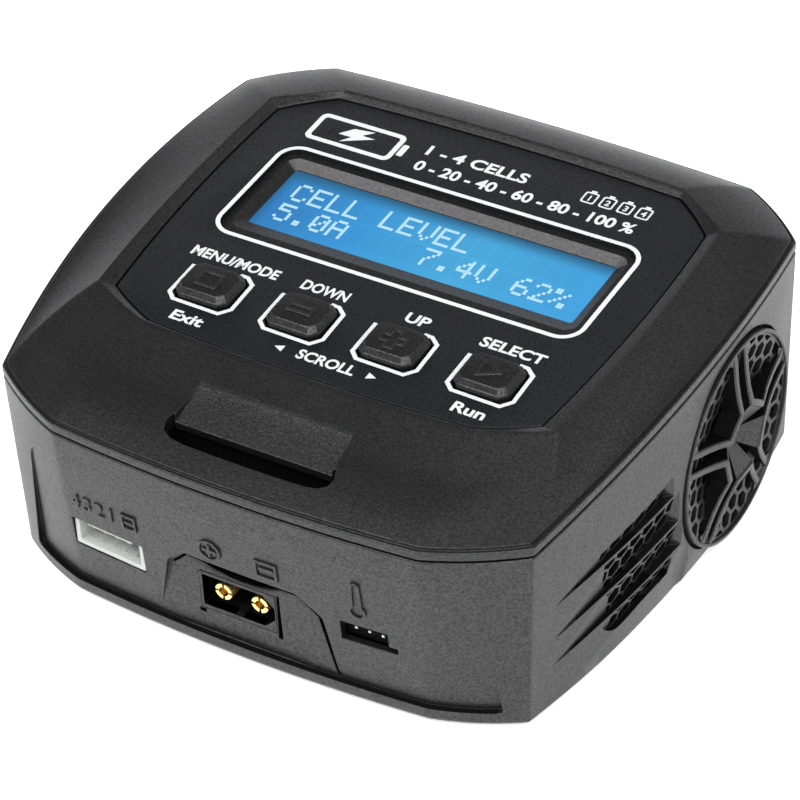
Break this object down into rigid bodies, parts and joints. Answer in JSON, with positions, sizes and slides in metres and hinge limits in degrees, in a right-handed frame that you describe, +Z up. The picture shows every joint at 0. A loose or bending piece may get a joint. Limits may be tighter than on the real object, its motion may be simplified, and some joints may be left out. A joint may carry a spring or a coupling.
{
  "type": "battery charger",
  "caption": "Compact mains balance charger with a blue character display, octagonal keys, twin-spoke fan grille, louvred vents and front output, balance and temperature sockets.",
  "frame": {"origin": "centre of the footprint on the resting plane under the rubber feet", "axes": "+Z up, output sockets face -Y, fan grille faces +X, display text reads with +X to the right"},
  "size_m": [0.1186, 0.1091, 0.0492],
  "materials": {
    "case_plastic": "satin",
    "label_film": "matte",
    "key_plastic": "matte",
    "black_nylon": "matte",
    "tinned_steel": "satin",
    "board": "satin",
    "screw_steel": "satin",
    "display_glass": "gloss",
    "black_steel": "satin",
    "gold_contact": "satin",
    "white_nylon": "satin",
    "ferrite": "matte",
    "yellow_tape": "satin",
    "capacitor_sleeve": "gloss",
    "aluminium": "satin",
    "copper": "gloss",
    "fuse_glass": "gloss",
    "cable_grey": "satin",
    "foot_rubber": "matte"
  },
  "bodies": {
    "case": {"bottom_shell": "case_plastic", "top_shell": "case_plastic", "control_label": "label_film", "fan_grille": "case_plastic", "tact_switches": "tinned_steel", "control_pcb": "board", "control_pcb_screws": "screw_steel", "lcd_glass": "display_glass", "lcd_frame": "black_steel", "lcd_pcb": "board", "lcd_header": "gold_contact", "fan_frame": "black_nylon", "fan_shaft": "tinned_steel", "fan_screws": "screw_steel", "main_pcb": "board", "main_pcb_screws": "screw_steel", "output_socket": "black_nylon", "output_contacts": "gold_contact", "balance_socket": "white_nylon", "balance_pins": "tinned_steel", "temp_socket": "black_nylon", "temp_pins": "gold_contact", "ac_inlet": "black_nylon", "ac_pins": "tinned_steel", "transformer_core": "ferrite", "transformer_winding": "yellow_tape", "input_capacitor": "capacitor_sleeve", "output_capacitors": "capacitor_sleeve", "capacitor_caps": "aluminium", "heatsink": "aluminium", "power_transistors": "black_nylon", "choke_core": "yellow_tape", "choke_winding": "copper", "fuse_body": "fuse_glass", "fuse_caps": "tinned_steel", "controller_chips": "black_nylon", "buzzer": "black_nylon", "link_cable": "cable_grey", "case_screws": "screw_steel", "rubber_feet": "foot_rubber"},
    "stop_key": {"key_stop": "key_plastic", "plunger_stop": "black_nylon"},
    "dec_key": {"key_dec": "key_plastic", "plunger_dec": "black_nylon"},
    "inc_key": {"key_inc": "key_plastic", "plunger_inc": "black_nylon"},
    "start_key": {"key_start": "key_plastic", "plunger_start": "black_nylon"},
    "fan_impeller": {"fan_rotor": "black_nylon"}
  },
  "joints": [
    {"name": "stop_press", "type": "slide", "parent": "case", "child": "stop_key", "axis": [0, 0.0357, -0.9994], "range_m": [0, 0.0006], "stiffness_N_per_m": 900},
    {"name": "dec_press", "type": "slide", "parent": "case", "child": "dec_key", "axis": [0, 0.0357, -0.9994], "range_m": [0, 0.0006], "stiffness_N_per_m": 900},
    {"name": "inc_press", "type": "slide", "parent": "case", "child": "inc_key", "axis": [0, 0.0357, -0.9994], "range_m": [0, 0.0006], "stiffness_N_per_m": 900},
    {"name": "start_press", "type": "slide", "parent": "case", "child": "start_key", "axis": [0, 0.0357, -0.9994], "range_m": [0, 0.0006], "stiffness_N_per_m": 900},
    {"name": "fan_spin", "type": "hinge", "parent": "case", "child": "fan_impeller", "pos_m": [0.0492, 0.0153, 0.0218], "axis": [1, 0, 0], "continuous": true}
  ]
}
